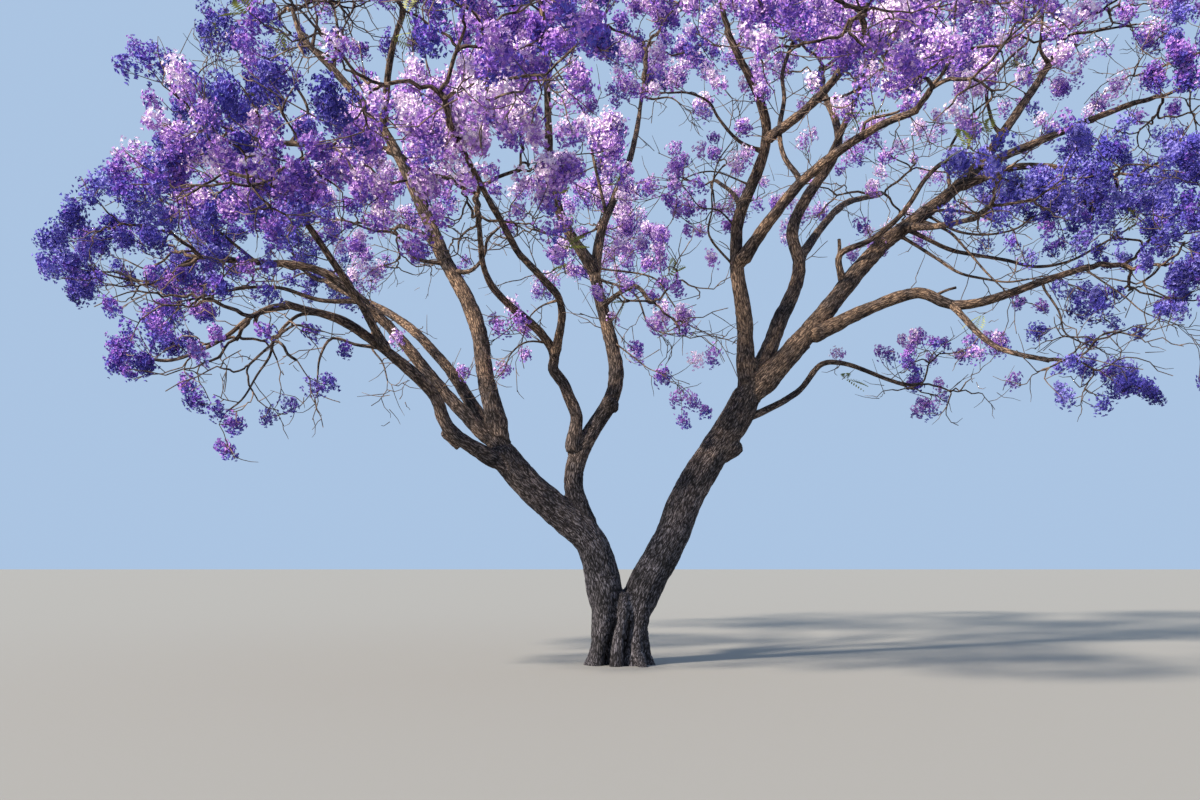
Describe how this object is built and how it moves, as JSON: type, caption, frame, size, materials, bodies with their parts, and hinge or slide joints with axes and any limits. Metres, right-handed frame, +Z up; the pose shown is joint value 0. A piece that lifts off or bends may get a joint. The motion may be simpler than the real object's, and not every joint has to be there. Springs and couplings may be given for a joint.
{
  "type": "jacaranda tree",
  "caption": "Large old jacaranda in full bloom: a short fluted trunk forks low into leaning stems, and arching boughs carry a wide, open umbrella of violet-blue blossom.",
  "frame": {"origin": "middle of the trunk's flat cut at ground level", "axes": "+Z up; +X along the front of the tree to the viewer's right, the way its longer stem leans; +Y away from the viewer"},
  "size_m": [17.6785, 15.0414, 12.3145],
  "materials": {
    "bark": "dark grey-brown bark in fine lengthwise furrows, matt",
    "blossom": "violet-blue blossom on fine twigs, matt"
  },
  "bodies": {
    "root": {"trunk": "bark", "stem_left": "bark", "stem_right": "bark", "left_low": "bark", "left_outer": "bark", "left_back": "bark", "left_high": "bark", "centre_up": "bark", "right_up": "bark", "right_high": "bark", "right_back": "bark", "left_front": "bark", "left_upper": "bark", "left_crown": "bark", "back_left": "bark", "centre_left": "bark", "centre_front": "bark", "centre_top": "bark", "back_centre": "bark", "centre_droop": "bark", "right_front": "bark", "front_right": "bark", "middle": "bark", "right_crown": "bark", "back_right": "bark", "right_low": "bark", "right_droop": "bark", "right_front_low": "bark", "right_mid": "bark", "right_outer": "bark", "right_under": "bark", "blossom_left_low": "blossom", "blossom_left_outer": "blossom", "blossom_left_back": "blossom", "blossom_left_high": "blossom", "blossom_left_upper": "blossom", "blossom_left_front": "blossom", "blossom_left_crown": "blossom", "blossom_back_left": "blossom", "blossom_centre_left": "blossom", "blossom_centre_front": "blossom", "blossom_centre_up": "blossom", "blossom_centre_top": "blossom", "blossom_back_centre": "blossom", "blossom_centre_droop": "blossom", "blossom_right_up": "blossom", "blossom_right_front": "blossom", "blossom_front_right": "blossom", "blossom_middle": "blossom", "blossom_right_crown": "blossom", "blossom_right_back": "blossom", "blossom_back_right": "blossom", "blossom_right_low": "blossom", "blossom_right_droop": "blossom", "blossom_right_front_low": "blossom", "blossom_right_mid": "blossom", "blossom_right_outer": "blossom", "blossom_right_high": "blossom", "blossom_right_under": "blossom"}
  },
  "joints": []
}
